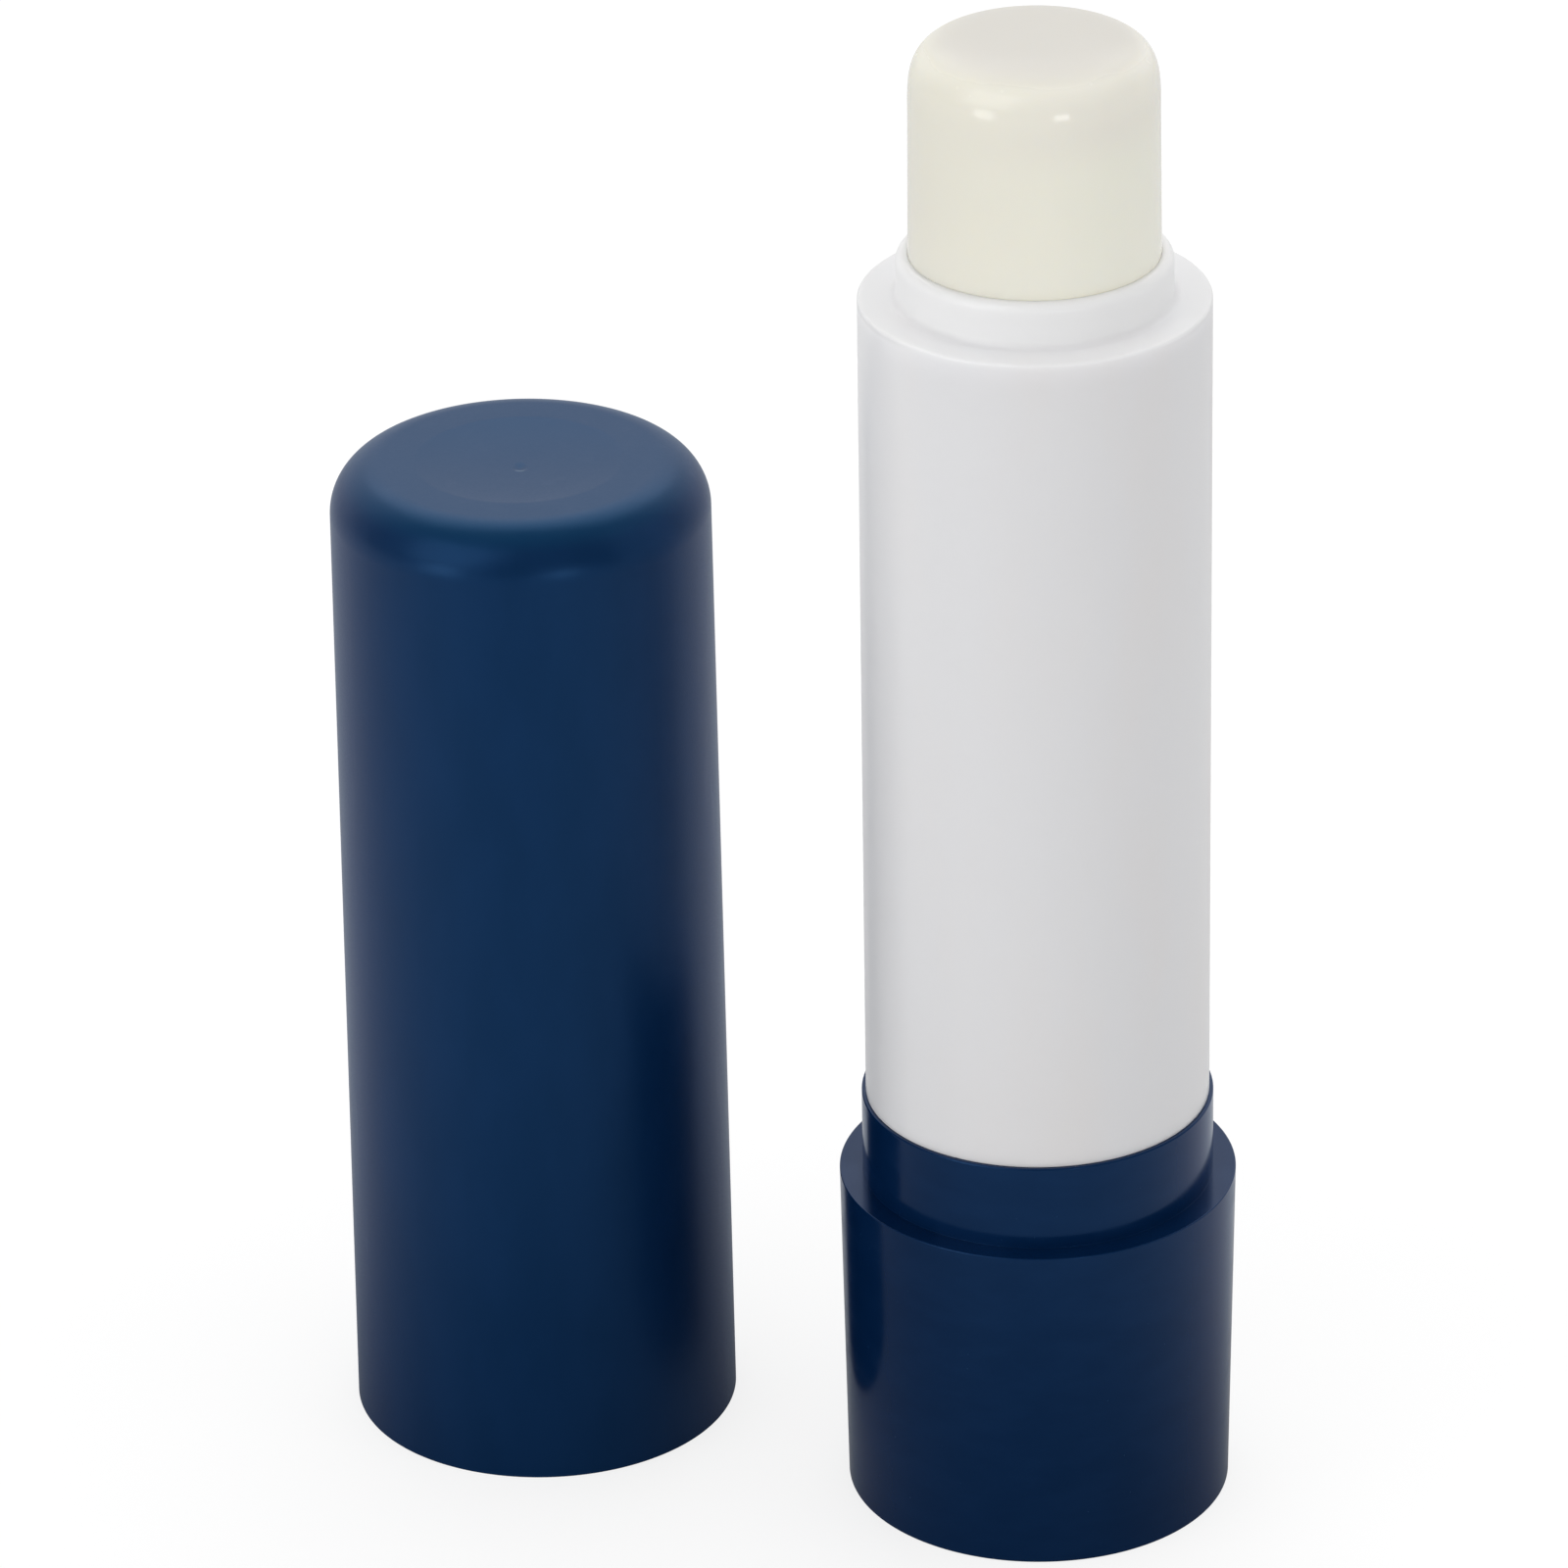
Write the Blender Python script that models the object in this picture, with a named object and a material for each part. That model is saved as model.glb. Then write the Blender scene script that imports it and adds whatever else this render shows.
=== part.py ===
"""Twist-up lip balm stick, wound up to show its balm, with its cap stood beside it.

The stick stands upright on the Z axis and its underside is at Z = 0. The base and the slotted
inner tube stand still. The barrel and the spiral sleeve pressed into it turn about Z. The cup
and the balm in it rise along Z, because the cup's two lugs pass through the straight slots of
the inner tube into the two helical grooves of the sleeve. All sizes are in metres.
"""

import math

import bmesh
import bpy
from mathutils import Vector

# Running and press fits, from the balm outwards
BALM_CLEARANCE = 0.00015
CUP_CLEARANCE = 0.00014
RUNNING_CLEARANCE = 0.00015
PRESS_GAP = 0.0001
SEAT_GAP = 0.0003
END_CLEARANCE = 0.0003
CAP_CLEARANCE = 0.0001
CUT_OVERRUN = 0.0003

# Balm
BALM_RADIUS = 0.00597
BALM_TAPER = 0.00005
BALM_LENGTH = 0.0465
BALM_SHOWN = 0.01078
BALM_CROWN = 0.00466
BALM_CROWN_POWER = 5
BALM_FOOT_ROUNDING = 0.0004

# Cup under the balm
CUP_WALL = 0.0005
CUP_FLOOR = 0.0024
CUP_HEIGHT = 0.0085
CUP_ROUNDING = 0.00015
LUG_RADIUS = 0.0008
LUG_TIP_CLEARANCE = 0.00015

# Travel: the wound-down balm and the wound-up cup both stop a little below the neck's lip
BALM_SINK = 0.00102
CUP_SINK = 0.00052
RISE_PER_TURN = 0.016

# Inner tube, fixed in the base
TUBE_WALL = 0.00048
TUBE_FLANGE_REACH = 0.0008
TUBE_FLANGE_HEIGHT = 0.0012

# Spiral sleeve, turning with the barrel
SLEEVE_WALL = 0.001
GROOVE_DEPTH = 0.0006
GROOVE_HEIGHT = 0.0022
BEAD_REACH = 0.00035
BEAD_HEIGHT = 0.0012
BEAD_RISE = 0.001
BEAD_AXIAL_CLEARANCE = 0.0002

# Barrel with its shoulder and neck
BARREL_WALL = 0.00052
BARREL_TAPER = 0.00005
BARREL_LENGTH = 0.04203
BARREL_FOOT_GAP = 0.00015
SHOULDER_WALL = 0.0009
SHOULDER_ROUNDING = 0.00022
NECK_WALL = 0.00043
NECK_HEIGHT = 0.00224
NECK_LIP_ROUNDING = 0.0002
NECK_FILLET = 0.00012

# Base with its collar
BASE_HEIGHT = 0.01721
BASE_TAPER = 0.00028
BASE_FLOOR = 0.0015
BASE_FOOT_ROUNDING = 0.0004
SEAT_STEP = 0.00014
SEAT_ROUNDING = 0.0003
COLLAR_STEP = 0.0002
COLLAR_HEIGHT = 0.00432
COLLAR_ROUNDING = 0.0002
COLLAR_FILLET = 0.0002
SPIGOT_WALL = 0.001
SPIGOT_HEIGHT = 0.003

# Cap, and where it stands beside the stick
CAP_HEIGHT = 0.05154
CAP_MOUTH_WALL = 0.00089
CAP_TOP_WALL = 0.00078
CAP_CEILING = 0.0013
CAP_SHOULDER_CLEARANCE = 0.00012
CAP_EDGE_REACH = 0.00255
CAP_EDGE_DROP = 0.00258
CAP_INNER_ROUNDING = 0.0016
CAP_MOUTH_ROUNDING = 0.00015
CAP_MOUTH_CHAMFER = 0.0002
DISH_RADIUS = 0.0055
DISH_DEPTH = 0.00012
DISH_EDGE = 0.0003
GATE_RADIUS = 0.00045
GATE_HEIGHT = 0.00014
CAP_X = -0.02474
CAP_Y = 0.00908

# Counts and shares
SIDES = 48
BAR_SIDES = 16
ARC_STEPS = 4
CROWN_STEPS = 12
CAP_EDGE_STEPS = 8
GROOVE_STARTS = 2
GROOVE_STEPS_PER_TURN = 30
BAR_PHASE_SHARE = 0.25
MERGE_SHARE = 0.0001
SHARP_ANGLE = math.radians(35)

# Colours (linear red, green, blue) and roughness
NAVY = (0.010, 0.030, 0.080)
WHITE = (0.80, 0.80, 0.80)
UNCOLOURED = (0.72, 0.72, 0.70)
WAX = (0.76, 0.73, 0.62)
CAP_ROUGHNESS = 0.35
BASE_ROUGHNESS = 0.25
BARREL_ROUGHNESS = 0.3
INNER_ROUGHNESS = 0.4
WAX_ROUGHNESS = 0.5

# Radii that follow from the walls and the fits
TUBE_BORE = BALM_RADIUS + BALM_CLEARANCE
TUBE_RADIUS = TUBE_BORE + TUBE_WALL
CUP_RADIUS = TUBE_BORE - CUP_CLEARANCE
CUP_BORE = CUP_RADIUS - CUP_WALL
SLEEVE_BORE = TUBE_RADIUS + RUNNING_CLEARANCE
SLEEVE_RADIUS = SLEEVE_BORE + SLEEVE_WALL
GROOVE_RADIUS = SLEEVE_BORE + GROOVE_DEPTH
BEAD_RADIUS = SLEEVE_RADIUS + BEAD_REACH
BARREL_BORE = SLEEVE_RADIUS + PRESS_GAP
BARREL_TOP_RADIUS = BARREL_BORE + BARREL_WALL
BARREL_FOOT_RADIUS = BARREL_TOP_RADIUS + BARREL_TAPER
NECK_RADIUS = TUBE_BORE + NECK_WALL
COLLAR_RADIUS = BARREL_FOOT_RADIUS + COLLAR_STEP
BASE_BORE = SLEEVE_RADIUS + RUNNING_CLEARANCE
CAP_MOUTH_BORE = COLLAR_RADIUS + CAP_CLEARANCE
CAP_MOUTH_RADIUS = CAP_MOUTH_BORE + CAP_MOUTH_WALL
CAP_TOP_BORE = BARREL_TOP_RADIUS + CAP_SHOULDER_CLEARANCE
CAP_TOP_RADIUS = CAP_TOP_BORE + CAP_TOP_WALL
BASE_SEAT_RADIUS = CAP_MOUTH_RADIUS + SEAT_STEP
BASE_FOOT_RADIUS = BASE_SEAT_RADIUS - BASE_TAPER
SPIGOT_RADIUS = TUBE_BORE - PRESS_GAP

# Heights above the underside of the base
COLLAR_TOP = BASE_HEIGHT + COLLAR_HEIGHT
BARREL_FOOT = COLLAR_TOP + BARREL_FOOT_GAP
SHOULDER = BARREL_FOOT + BARREL_LENGTH
SHOULDER_UNDERSIDE = SHOULDER - SHOULDER_WALL
NECK_TOP = SHOULDER + NECK_HEIGHT
TUBE_FOOT = BASE_FLOOR + SEAT_GAP
FLANGE_TOP = TUBE_FOOT + TUBE_FLANGE_HEIGHT
SLEEVE_FOOT = FLANGE_TOP + SEAT_GAP
INNER_TOP = SHOULDER_UNDERSIDE - SEAT_GAP
BEAD_FOOT = SLEEVE_FOOT + BEAD_RISE
BEAD_TOP = BEAD_FOOT + BEAD_HEIGHT
BALM_TOP = NECK_TOP + BALM_SHOWN
BALM_FOOT = BALM_TOP - BALM_LENGTH
CUP_FOOT = BALM_FOOT - SEAT_GAP - CUP_FLOOR
CUP_RIM = CUP_FOOT + CUP_HEIGHT
LUG_HEIGHT = CUP_FOOT + CUP_FLOOR / 2
RISE_DOWN = BALM_SHOWN + BALM_SINK
RISE_UP = NECK_TOP - CUP_SINK - CUP_RIM
LUG_LOWEST = LUG_HEIGHT - RISE_DOWN
LUG_HIGHEST = LUG_HEIGHT + RISE_UP


def clear_scene():
    """Remove every object that the file holds."""
    for item in list(bpy.data.objects):
        bpy.data.objects.remove(item, do_unlink=True)


def plastic(name, colour, roughness):
    """Principled material of one colour (linear red, green, blue), not metallic."""
    material = bpy.data.materials.new(name)
    material.use_nodes = True
    shader = material.node_tree.nodes["Principled BSDF"]
    shader.inputs["Base Color"].default_value = (*colour, 1)
    shader.inputs["Roughness"].default_value = roughness
    shader.inputs["Metallic"].default_value = 0
    return material


def rounded(corners):
    """Outline through corners of (radius, height, rounding), each turned as an arc.

    A corner whose rounding is zero stays sharp. The corners form a closed loop.
    """
    points = []
    for index, (radius, height, rounding) in enumerate(corners):
        corner = Vector((radius, height))
        if rounding == 0:
            points.append(corner)
            continue
        ahead_corner = corners[(index + 1) % len(corners)]
        back = (Vector(corners[index - 1][:2]) - corner).normalized()
        ahead = (Vector(ahead_corner[:2]) - corner).normalized()
        half_angle = back.angle(ahead) / 2
        spread = math.pi - 2 * half_angle
        reach = rounding / math.tan(half_angle)
        middle = corner + (back + ahead).normalized() * rounding / math.sin(half_angle)
        start = corner + back * reach - middle
        end = corner + ahead * reach - middle
        for step in range(ARC_STEPS + 1):
            turned_share = step / ARC_STEPS
            start_weight = math.sin((1 - turned_share) * spread) / math.sin(spread)
            end_weight = math.sin(turned_share * spread) / math.sin(spread)
            points.append(middle + start * start_weight + end * end_weight)
    return points


def elliptic_edge(centre_radius, centre_height, reach, drop, steps, power):
    """Quarter of the curve (x / reach)^power + (y / drop)^power = 1, from its side to its top."""
    points = []
    for step in range(steps + 1):
        angle = math.pi / 2 * step / steps
        across = math.cos(angle) ** (2 / power)
        upward = math.sin(angle) ** (2 / power)
        points.append(Vector((centre_radius + reach * across, centre_height + drop * upward)))
    return points


def finish(name, shape, material, parent):
    """Turn a bmesh into a smooth shaded object under its joint's empty."""
    bmesh.ops.recalc_face_normals(shape, faces=shape.faces)
    mesh = bpy.data.meshes.new(name)
    shape.to_mesh(mesh)
    shape.free()
    mesh.materials.append(material)
    mesh.shade_smooth()
    mesh.set_sharp_from_angle(angle=SHARP_ANGLE)
    body = bpy.data.objects.new(name, mesh)
    bpy.context.scene.collection.objects.link(body)
    body.parent = parent
    return body


def turned(name, outline, material, parent):
    """Solid turned about Z from a closed outline of (radius, height) points."""
    shape = bmesh.new()
    rim = [shape.verts.new((radius, 0, height)) for radius, height in outline]
    edges = [shape.edges.new(pair) for pair in zip(rim, rim[1:] + rim[:1])]
    bmesh.ops.spin(
        shape,
        geom=rim + edges,
        cent=(0, 0, 0),
        axis=(0, 0, 1),
        angle=2 * math.pi,
        steps=SIDES,
        use_merge=True,
    )
    bmesh.ops.remove_doubles(shape, verts=shape.verts, dist=BALM_RADIUS * MERGE_SHARE)
    on_axis = [edge for edge in shape.edges if not edge.link_faces]
    bmesh.ops.delete(shape, geom=on_axis, context="EDGES")
    return finish(name, shape, material, parent)


def combine(body, tool, operation):
    """Cut the tool out of the body, or join it on. The tool itself is left out of the part."""
    tool.hide_render = True
    tool.display_type = "WIRE"
    modifier = body.modifiers.new(tool.name, "BOOLEAN")
    modifier.operation = operation
    modifier.object = tool
    modifier.solver = "EXACT"


def bar_along_x(name, half_width, lower, upper, half_length, material, parent):
    """Bar along X with round ends at the lower and upper heights, or a round bar where they meet."""
    shape = bmesh.new()
    loop = []
    for step in range(BAR_SIDES):
        angle = 2 * math.pi * (step + BAR_PHASE_SHARE) / BAR_SIDES
        middle = upper if math.sin(angle) > 0 else lower
        across = half_width * math.cos(angle)
        height = middle + half_width * math.sin(angle)
        loop.append(shape.verts.new((-half_length, across, height)))
    end_face = shape.faces.new(loop)
    pushed = bmesh.ops.extrude_face_region(shape, geom=[end_face])
    moved = [item for item in pushed["geom"] if isinstance(item, bmesh.types.BMVert)]
    bmesh.ops.translate(shape, verts=moved, vec=(2 * half_length, 0, 0))
    return finish(name, shape, material, parent)


def joint_empty(name, x, y):
    """Empty that stands on a joint's upright axis and carries what moves with it."""
    empty = bpy.data.objects.new(name, None)
    bpy.context.scene.collection.objects.link(empty)
    empty.location = (x, y, 0)
    empty.empty_display_size = BASE_HEIGHT
    return empty


def make_base(material, parent):
    """Grip with a flat floor, the seat of the cap, the collar and a spigot for the inner tube."""
    groove_radius = BEAD_RADIUS + RUNNING_CLEARANCE
    groove_foot = BEAD_FOOT - BEAD_AXIAL_CLEARANCE
    groove_top = BEAD_TOP + BEAD_AXIAL_CLEARANCE
    spigot_bore = SPIGOT_RADIUS - SPIGOT_WALL
    spigot_top = BASE_FLOOR + SPIGOT_HEIGHT
    corners = [
        (0, 0, 0),
        (BASE_FOOT_RADIUS, 0, BASE_FOOT_ROUNDING),
        (BASE_SEAT_RADIUS, BASE_HEIGHT, SEAT_ROUNDING),
        (COLLAR_RADIUS, BASE_HEIGHT, COLLAR_FILLET),
        (COLLAR_RADIUS, COLLAR_TOP, COLLAR_ROUNDING),
        (BASE_BORE, COLLAR_TOP, 0),
        (BASE_BORE, groove_top, 0),
        (groove_radius, groove_top, 0),
        (groove_radius, groove_foot, 0),
        (BASE_BORE, groove_foot, 0),
        (BASE_BORE, BASE_FLOOR, 0),
        (SPIGOT_RADIUS, BASE_FLOOR, 0),
        (SPIGOT_RADIUS, spigot_top, 0),
        (spigot_bore, spigot_top, 0),
        (spigot_bore, BASE_FLOOR, 0),
        (0, BASE_FLOOR, 0),
    ]
    return turned("base", rounded(corners), material, parent)


def make_inner_tube(material, parent):
    """Guide tube with a flange at its foot and two straight slots for the lugs."""
    flange_radius = TUBE_RADIUS + TUBE_FLANGE_REACH
    corners = [
        (TUBE_BORE, TUBE_FOOT, 0),
        (flange_radius, TUBE_FOOT, 0),
        (flange_radius, FLANGE_TOP, 0),
        (TUBE_RADIUS, FLANGE_TOP, 0),
        (TUBE_RADIUS, INNER_TOP, 0),
        (TUBE_BORE, INNER_TOP, 0),
    ]
    tube = turned("inner_tube", rounded(corners), material, parent)
    half_width = LUG_RADIUS + RUNNING_CLEARANCE
    lower = LUG_LOWEST - END_CLEARANCE
    upper = LUG_HIGHEST + END_CLEARANCE
    reach = TUBE_RADIUS + CUT_OVERRUN
    slots = bar_along_x("slot_cutter", half_width, lower, upper, reach, material, parent)
    combine(tube, slots, "DIFFERENCE")
    return tube


def groove_cutter(start, material, parent):
    """One helical groove: a rectangle of GROOVE_HEIGHT carried up the helix of the rise.

    Its middle is at angle = 2 pi (height - LUG_HEIGHT) / RISE_PER_TURN, plus the angle of its
    start, and it runs past the lug at both ends of the travel.
    """
    past_lug = (LUG_RADIUS + END_CLEARANCE) / SLEEVE_BORE
    first_angle = -2 * math.pi * RISE_DOWN / RISE_PER_TURN - past_lug
    last_angle = 2 * math.pi * RISE_UP / RISE_PER_TURN + past_lug
    turns = (last_angle - first_angle) / (2 * math.pi)
    steps = math.ceil(turns * GROOVE_STEPS_PER_TURN)
    start_angle = 2 * math.pi * start / GROOVE_STARTS
    inside = SLEEVE_BORE - CUT_OVERRUN
    half_height = GROOVE_HEIGHT / 2
    shape = bmesh.new()
    sections = []
    for step in range(steps + 1):
        angle = first_angle + (last_angle - first_angle) * step / steps
        middle = LUG_HEIGHT + RISE_PER_TURN * angle / (2 * math.pi)
        cosine = math.cos(angle + start_angle)
        sine = math.sin(angle + start_angle)
        low = middle - half_height
        high = middle + half_height
        section = [(inside, low), (GROOVE_RADIUS, low), (GROOVE_RADIUS, high), (inside, high)]
        sections.append([shape.verts.new((r * cosine, r * sine, z)) for r, z in section])
    shape.faces.new(sections[0])
    shape.faces.new(sections[-1])
    for lower, upper in zip(sections, sections[1:]):
        for corner in range(len(lower)):
            quad = (lower[corner - 1], lower[corner], upper[corner], upper[corner - 1])
            shape.faces.new(quad)
    bmesh.ops.triangulate(shape, faces=shape.faces)
    return finish(f"groove_cutter_{start + 1}", shape, material, parent)


def make_spiral_sleeve(material, parent):
    """Sleeve with a snap bead near its foot and helical grooves in its bore."""
    corners = [
        (SLEEVE_BORE, SLEEVE_FOOT, 0),
        (SLEEVE_RADIUS, SLEEVE_FOOT, 0),
        (SLEEVE_RADIUS, BEAD_FOOT, 0),
        (BEAD_RADIUS, BEAD_FOOT + BEAD_REACH, 0),
        (BEAD_RADIUS, BEAD_TOP - BEAD_REACH, 0),
        (SLEEVE_RADIUS, BEAD_TOP, 0),
        (SLEEVE_RADIUS, INNER_TOP, 0),
        (SLEEVE_BORE, INNER_TOP, 0),
    ]
    sleeve = turned("spiral_sleeve", rounded(corners), material, parent)
    for start in range(GROOVE_STARTS):
        combine(sleeve, groove_cutter(start, material, parent), "DIFFERENCE")
    return sleeve


def make_barrel(material, parent):
    """Outer shell with a flat shoulder and the narrower neck that the balm comes out of."""
    corners = [
        (BARREL_BORE, BARREL_FOOT, 0),
        (BARREL_FOOT_RADIUS, BARREL_FOOT, 0),
        (BARREL_TOP_RADIUS, SHOULDER, SHOULDER_ROUNDING),
        (NECK_RADIUS, SHOULDER, NECK_FILLET),
        (NECK_RADIUS, NECK_TOP, NECK_LIP_ROUNDING),
        (TUBE_BORE, NECK_TOP, 0),
        (TUBE_BORE, SHOULDER_UNDERSIDE, 0),
        (BARREL_BORE, SHOULDER_UNDERSIDE, 0),
    ]
    return turned("barrel", rounded(corners), material, parent)


def make_balm_cup(material, parent):
    """Cup that holds the foot of the balm, with a lug on each side of its floor."""
    corners = [
        (0, CUP_FOOT, 0),
        (CUP_RADIUS, CUP_FOOT, CUP_ROUNDING),
        (CUP_RADIUS, CUP_RIM, CUP_ROUNDING),
        (CUP_BORE, CUP_RIM, 0),
        (CUP_BORE, CUP_FOOT + CUP_FLOOR, 0),
        (0, CUP_FOOT + CUP_FLOOR, 0),
    ]
    cup = turned("balm_cup", rounded(corners), material, parent)
    tip = GROOVE_RADIUS - LUG_TIP_CLEARANCE
    lugs = bar_along_x("lug_bar", LUG_RADIUS, LUG_HEIGHT, LUG_HEIGHT, tip, material, parent)
    combine(cup, lugs, "UNION")
    return cup


def make_balm(material, parent):
    """Balm: a foot set in the cup, a straight body and a flattish crown with a soft edge."""
    foot_radius = CUP_BORE - PRESS_GAP
    body_foot = CUP_RIM + SEAT_GAP
    crown_foot = BALM_TOP - BALM_CROWN
    top_radius = BALM_RADIUS - BALM_TAPER
    corners = [
        (0, BALM_FOOT, 0),
        (foot_radius, BALM_FOOT, BALM_FOOT_ROUNDING),
        (foot_radius, body_foot, 0),
        (BALM_RADIUS, body_foot, 0),
        (BALM_RADIUS, NECK_TOP, 0),
        (top_radius, crown_foot, 0),
        (0, crown_foot, 0),
    ]
    crown = elliptic_edge(0, crown_foot, top_radius, BALM_CROWN, CROWN_STEPS, BALM_CROWN_POWER)
    return turned("balm", rounded(corners)[:-2] + crown, material, parent)


def make_cap(material, parent):
    """Cap, mouth down: tapered wall, rounded top edge and a shallow dish with a gate mark."""
    ceiling = CAP_HEIGHT - CAP_CEILING
    dish_floor = CAP_HEIGHT - DISH_DEPTH
    edge_radius = CAP_TOP_RADIUS - CAP_EDGE_REACH
    edge_foot = CAP_HEIGHT - CAP_EDGE_DROP
    inner_corners = [
        (0, ceiling, 0),
        (CAP_TOP_BORE, ceiling, CAP_INNER_ROUNDING),
        (CAP_MOUTH_BORE, CAP_MOUTH_CHAMFER, 0),
        (CAP_MOUTH_BORE + CAP_MOUTH_CHAMFER, 0, 0),
        (CAP_MOUTH_RADIUS, 0, CAP_MOUTH_ROUNDING),
        (CAP_TOP_RADIUS, edge_foot, 0),
    ]
    edge = elliptic_edge(edge_radius, edge_foot, CAP_EDGE_REACH, CAP_EDGE_DROP, CAP_EDGE_STEPS, 2)
    top = [
        (DISH_RADIUS, CAP_HEIGHT),
        (DISH_RADIUS - DISH_EDGE, dish_floor),
        (GATE_RADIUS, dish_floor),
        (GATE_RADIUS - GATE_HEIGHT, dish_floor + GATE_HEIGHT),
        (0, dish_floor + GATE_HEIGHT),
    ]
    outline = rounded(inner_corners)[:-1] + edge + [Vector(point) for point in top]
    return turned("cap", outline, material, parent)


def build_stick():
    """Make the seven pieces under the empties of their joints."""
    navy = plastic("navy plastic", NAVY, CAP_ROUGHNESS)
    navy_gloss = plastic("glossy navy plastic", NAVY, BASE_ROUGHNESS)
    white = plastic("white plastic", WHITE, BARREL_ROUGHNESS)
    natural = plastic("natural plastic", UNCOLOURED, INNER_ROUGHNESS)
    wax = plastic("balm wax", WAX, WAX_ROUGHNESS)
    fixed = joint_empty("stick_origin", 0, 0)
    turning = joint_empty("barrel_turn_axis", 0, 0)
    rising = joint_empty("balm_rise_axis", 0, 0)
    lifting = joint_empty("cap_lift_axis", CAP_X, CAP_Y)
    make_base(navy_gloss, fixed)
    make_inner_tube(natural, fixed)
    make_spiral_sleeve(natural, turning)
    make_barrel(white, turning)
    make_balm_cup(natural, rising)
    make_balm(wax, rising)
    make_cap(navy, lifting)


clear_scene()
build_stick()
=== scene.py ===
"""Twist-up lip balm stick with its cap stood beside it, dressed for a studio picture.

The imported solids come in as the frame. The four pieces that show, the base, the barrel, the balm
and the cap, are replaced by finer turned surfaces of the same sizes. The three pieces inside keep
their solids and get a milky plastic. Sizes below are in millimetres unless they say otherwise.
"""

import math

import bpy
import numpy as np
from mathutils import Matrix, Vector


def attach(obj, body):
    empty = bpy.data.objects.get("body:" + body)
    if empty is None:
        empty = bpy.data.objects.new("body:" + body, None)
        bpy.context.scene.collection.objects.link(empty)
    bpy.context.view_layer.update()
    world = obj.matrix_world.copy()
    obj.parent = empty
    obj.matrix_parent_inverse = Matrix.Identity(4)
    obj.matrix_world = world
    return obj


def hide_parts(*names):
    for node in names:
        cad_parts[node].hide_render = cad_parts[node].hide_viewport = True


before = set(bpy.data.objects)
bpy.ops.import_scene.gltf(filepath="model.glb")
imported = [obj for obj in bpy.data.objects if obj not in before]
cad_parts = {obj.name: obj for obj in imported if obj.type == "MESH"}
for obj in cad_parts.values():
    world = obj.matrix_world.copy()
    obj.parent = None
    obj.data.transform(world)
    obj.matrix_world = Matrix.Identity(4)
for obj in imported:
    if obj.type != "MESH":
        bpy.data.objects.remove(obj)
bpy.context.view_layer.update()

MM = 0.001

# Points round a turned surface, and steps along a corner's arc and along a soft edge
SIDES = 256
ARC_STEPS = 8
EDGE_STEPS = 28
# Distance of a further point beyond each end of an arc, as a share of its rounding
SUPPORT = 0.15

# Base: heights and radii from its underside to the top of its collar
BASE_FOOT_RADIUS = 9.47
BASE_SEAT_RADIUS = 9.75
BASE_HEIGHT = 17.21
BASE_BORE = 7.90
BASE_FLOOR = 1.5
BEAD_GROOVE_RADIUS = 8.25
BEAD_GROOVE_FOOT = 4.1
BEAD_GROOVE_TOP = 5.7
SPIGOT_RADIUS = 6.02
SPIGOT_BORE = 5.02
SPIGOT_TOP = 4.5
COLLAR_RADIUS = 8.62
COLLAR_TOP = 21.53

# Barrel with its shoulder and neck
BARREL_FOOT = 21.545
BARREL_FOOT_RADIUS = 8.42
BARREL_TOP_RADIUS = 8.37
BARREL_BORE = 7.85
SHOULDER = 63.71
SHOULDER_UNDERSIDE = 62.81
NECK_RADIUS = 6.55
NECK_TOP = 65.95
NECK_BORE = 6.12
LIP_BORE = 5.975
LIP_DEPTH = 0.4
LIP_FUNNEL = 0.15

# Balm, from its foot in the cup to its crown
BALM_FOOT = 30.23
BALM_FOOT_RADIUS = 5.38
BALM_BODY_FOOT = 36.33
BALM_RADIUS = 5.97
BALM_TOP_RADIUS = 5.914
BALM_TOP = 76.73
BALM_ROWS = 30
BALM_ROWS_MARGIN = 1
CROWN_DROP = 4.11
CROWN_REACH = 5.58
CROWN_POWER = 4.56
# The crown's lean as a share of x
BALM_LEAN = 0.005
# Waves of its radius: size, count in a turn, radians for each millimetre of height, start
BALM_WAVES = [(0.006, 3, 0.4, 0), (0.004, 5, -0.9, 1)]

# Cap, stood mouth down beside the stick
CAP_X = -24.74
CAP_Y = 9.08
CAP_TOP = 51.54
CAP_MOUTH_RADIUS = 9.61
CAP_MOUTH_BORE = 8.72
CAP_MOUTH_CHAMFER = 0.2
CAP_TOP_RADIUS = 9.27
CAP_TOP_BORE = 8.49
CAP_CEILING = 50.24
CAP_EDGE_REACH = 2.55
CAP_EDGE_DROP = 2.58
CAP_EDGE_POWER = 2.0
DISH_RADIUS = 5.1
DISH_DEPTH = 0.24
# Radii of the rows of points outside the dish, and where the gate's finer rows take over
DISH_RINGS = [DISH_RADIUS + 0.15, DISH_RADIUS + 0.04]
DISH_INNER = 1.7
DISH_ROWS = 20
GATE_OUTER = 1.65
GATE_ROWS = 48
# Gate mark: its middle from the cap's axis, its reach to the front and the back, its depth
GATE_X = 0.05
GATE_Y = -0.51
GATE_FRONT = 0.42
GATE_BACK = 0.78
GATE_DEPTH = 0.08
# Painted highlight at its front edge: how far in front of its middle, and its reach along each axis
GATE_HIGHLIGHT_FRONT = 0.27
GATE_HIGHLIGHT_REACH = (0.27, 0.15, 1.0)

# Roundings of the edges
SMALL_EDGE = 0.05
COLLAR_FOOT_EDGE = 0.01
COLLAR_TOP_EDGE = 0.08
SPIGOT_EDGE = 0.1
BARREL_FOOT_EDGE = 0.02
SHOULDER_EDGE = 0.14
NECK_FILLET = 0.35
NECK_TOP_EDGE = 0.45
LIP_BORE_EDGE = 0.03
BALM_FOOT_EDGE = 0.4
BALM_STEP_EDGE = 0.1
CAP_CEILING_EDGE = 1.6
CAP_MOUTH_EDGE = 0.04

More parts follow.
